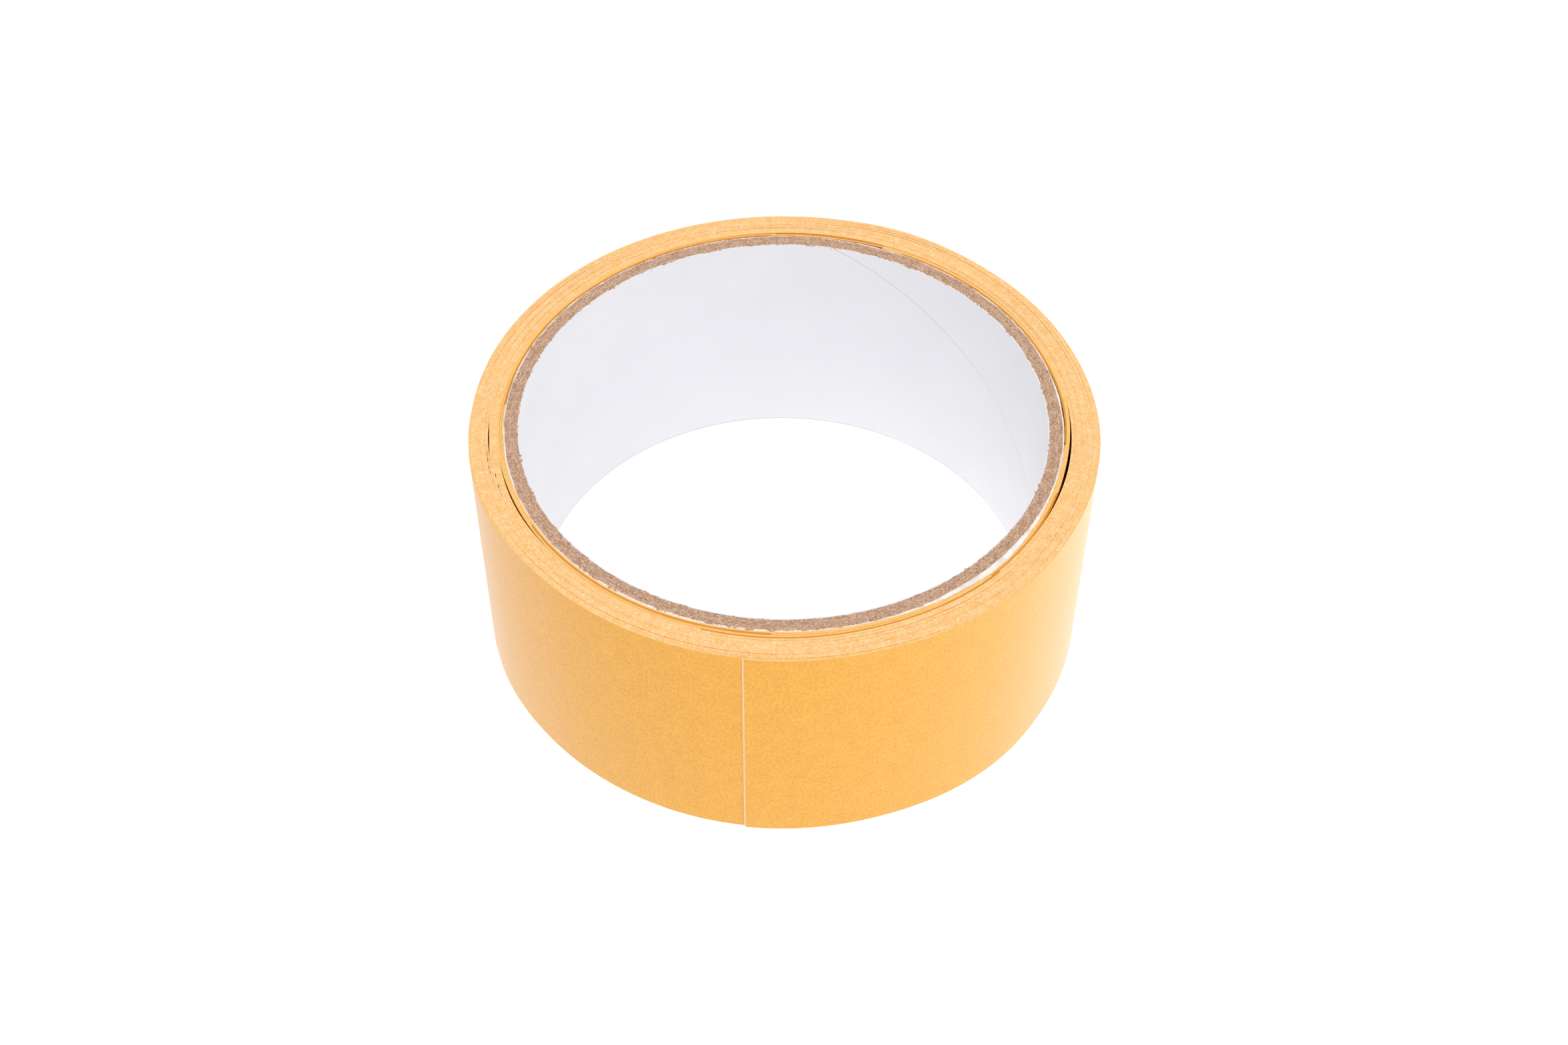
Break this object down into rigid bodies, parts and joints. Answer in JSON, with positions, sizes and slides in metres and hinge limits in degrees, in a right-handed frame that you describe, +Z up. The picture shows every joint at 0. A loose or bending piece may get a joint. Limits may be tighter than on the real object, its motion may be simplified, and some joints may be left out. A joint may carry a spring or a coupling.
{
  "type": "double-sided adhesive tape roll",
  "caption": "Wide roll of thin double-sided tape with a paper release liner, wound tightly on a ply-wound board core, its loose end able to lift and its liner tab to peel.",
  "frame": {"origin": "on the core's bore axis, in the plane of the lower end face", "axes": "+Z up the bore axis towards the upper end face; the free end of the tape lies a little to the -X side of -Y"},
  "size_m": [0.0907, 0.0906, 0.038],
  "materials": {
    "white_liner_paper": "matt",
    "brown_board": "matt",
    "white_outer_paper": "matt",
    "adhesive_film": "satin",
    "amber_release_paper": "satin"
  },
  "bodies": {
    "roll": {"bore_liner": "white_liner_paper", "core_board_ply_1": "brown_board", "core_board_ply_2": "brown_board", "core_board_ply_3": "brown_board", "core_board_ply_4": "brown_board", "core_board_ply_5": "brown_board", "core_outer_liner": "white_outer_paper", "adhesive_film": "adhesive_film", "release_paper": "amber_release_paper", "outer_turn_film": "adhesive_film", "outer_turn_paper": "amber_release_paper"},
    "tail_1": {"tail_film_1": "adhesive_film", "tail_paper_1": "amber_release_paper"},
    "tail_2": {"tail_film_2": "adhesive_film", "tail_paper_2": "amber_release_paper"},
    "tail_3": {"tail_film_3": "adhesive_film", "tail_paper_3": "amber_release_paper"},
    "tail_4": {"tail_film_4": "adhesive_film", "tail_paper_4": "amber_release_paper"},
    "paper_tab": {"paper_tab": "amber_release_paper"}
  },
  "joints": [
    {"name": "tail_lift_1", "type": "hinge", "parent": "roll", "child": "tail_1", "pos_m": [0.0351, -0.02945, 0.019], "axis": [0, 0, 1], "range_deg": [0, 20]},
    {"name": "tail_lift_2", "type": "hinge", "parent": "tail_1", "child": "tail_2", "pos_m": [0.02824, -0.03614, 0.019], "axis": [0, 0, 1], "range_deg": [0, 20]},
    {"name": "tail_lift_3", "type": "hinge", "parent": "tail_2", "child": "tail_3", "pos_m": [0.01999, -0.04098, 0.019], "axis": [0, 0, 1], "range_deg": [0, 20]},
    {"name": "tail_lift_4", "type": "hinge", "parent": "tail_3", "child": "tail_4", "pos_m": [0.01099, -0.04406, 0.019], "axis": [0, 0, 1], "range_deg": [0, 20]},
    {"name": "paper_peel", "type": "hinge", "parent": "tail_4", "child": "paper_tab", "pos_m": [0.00159, -0.04541, 0.019], "axis": [0, 0, 1], "range_deg": [0, 60]}
  ],
  "couplings": [
    {"joint": "tail_lift_2", "follows": "tail_lift_1", "ratio": 1},
    {"joint": "tail_lift_3", "follows": "tail_lift_1", "ratio": 1},
    {"joint": "tail_lift_4", "follows": "tail_lift_1", "ratio": 1}
  ]
}
